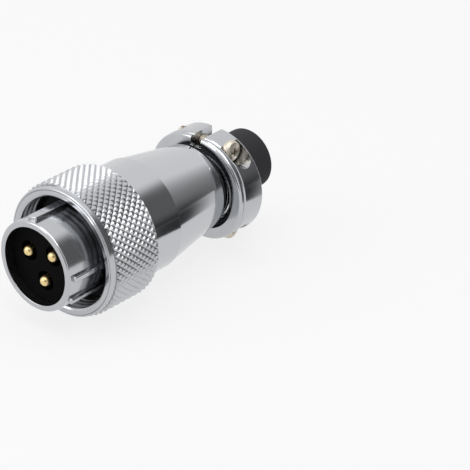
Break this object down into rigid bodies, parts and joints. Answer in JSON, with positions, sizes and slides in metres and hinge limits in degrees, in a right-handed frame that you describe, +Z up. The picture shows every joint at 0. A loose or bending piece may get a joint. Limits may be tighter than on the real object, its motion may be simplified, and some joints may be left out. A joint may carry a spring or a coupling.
{
  "type": "circular cable plug connector",
  "caption": "Round keyed cable plug with gold pin contacts, knurled coupling nut, tapered metal back shell and a screwed split clamp on a rubber cable sleeve.",
  "frame": {"origin": "centre of the plug shell's front rim", "axes": "+X out of the plug's mouth along its axis, +Z up through the clamp's split, +Y towards the clamp screws' heads"},
  "size_m": [0.0695, 0.031, 0.031],
  "materials": {
    "chrome": "polished chrome plate",
    "satin_chrome": "satin chrome plate",
    "screw_steel": "yellowish plated steel",
    "gold": "gold plate",
    "brass": "turned brass",
    "insulator": "moulded black",
    "seal_rubber": "black seal rubber",
    "sleeve_rubber": "black rubber"
  },
  "bodies": {
    "plug_body": {"plug_shell": "chrome", "face_gasket": "seal_rubber", "slip_washer": "brass", "front_insulator": "insulator", "sealing_disc": "seal_rubber", "rear_insulator": "insulator", "contact_pin_1": "gold", "contact_pin_2": "gold", "contact_pin_3": "gold", "insert_ring": "brass", "shell_o_ring": "seal_rubber", "back_shell": "satin_chrome", "neck_gasket": "seal_rubber", "gland_washer": "brass", "cable_sleeve": "sleeve_rubber", "clamp_half_near": "chrome", "clamp_half_far": "chrome", "clamp_screw_upper": "screw_steel", "clamp_screw_lower": "screw_steel"},
    "nut": {"coupling_nut": "chrome"}
  },
  "joints": [
    {"name": "nut_spin", "type": "hinge", "parent": "plug_body", "child": "nut", "pos_m": [-0.015, 0, 0], "axis": [1, 0, 0], "continuous": true}
  ]
}
